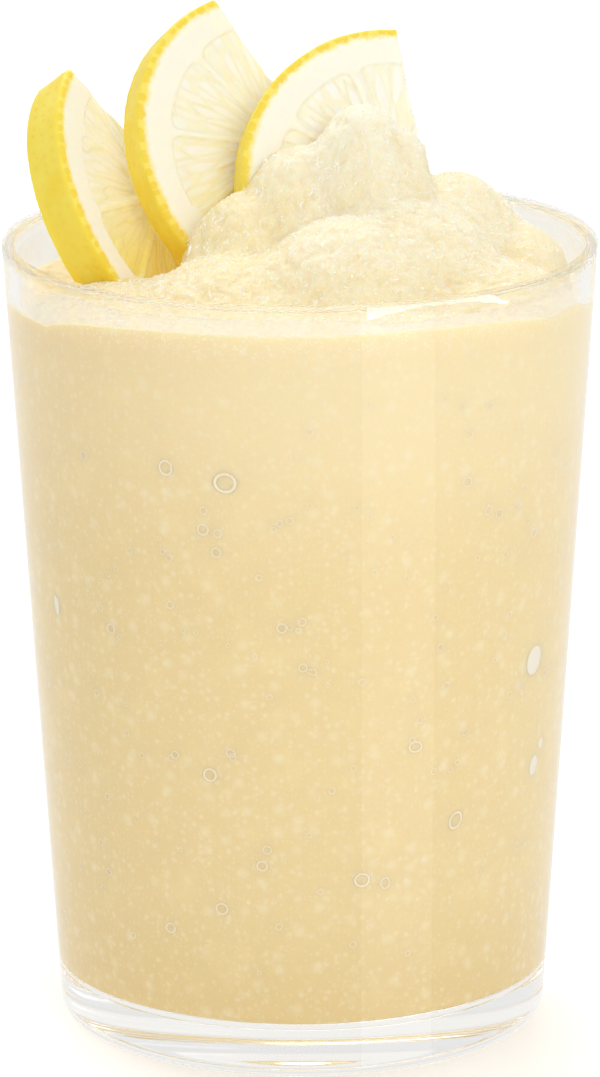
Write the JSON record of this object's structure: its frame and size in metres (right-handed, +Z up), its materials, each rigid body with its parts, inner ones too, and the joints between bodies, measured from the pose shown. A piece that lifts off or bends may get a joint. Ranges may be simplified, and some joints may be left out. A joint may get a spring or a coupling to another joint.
{
  "type": "lemon granita in a glass",
  "caption": "Lemon slush heaped above the rim of a clear, slightly tapered glass tumbler, with half slices of lemon stood in it.",
  "frame": {"origin": "middle of the ring that the glass stands on", "axes": "+Z up along the glass's own axis; -Y is the side that the lemon slices face, and +X is to the right of it"},
  "size_m": [0.0898, 0.0898, 0.1542],
  "materials": {
    "glass": "clear, fire-polished",
    "granita": "icy, wet, translucent",
    "lemon": "moist fruit"
  },
  "bodies": {
    "root": {"glass": "glass", "granita": "granita", "lemon_slice_1": "lemon", "lemon_slice_2": "lemon", "lemon_slice_3": "lemon"}
  },
  "joints": []
}
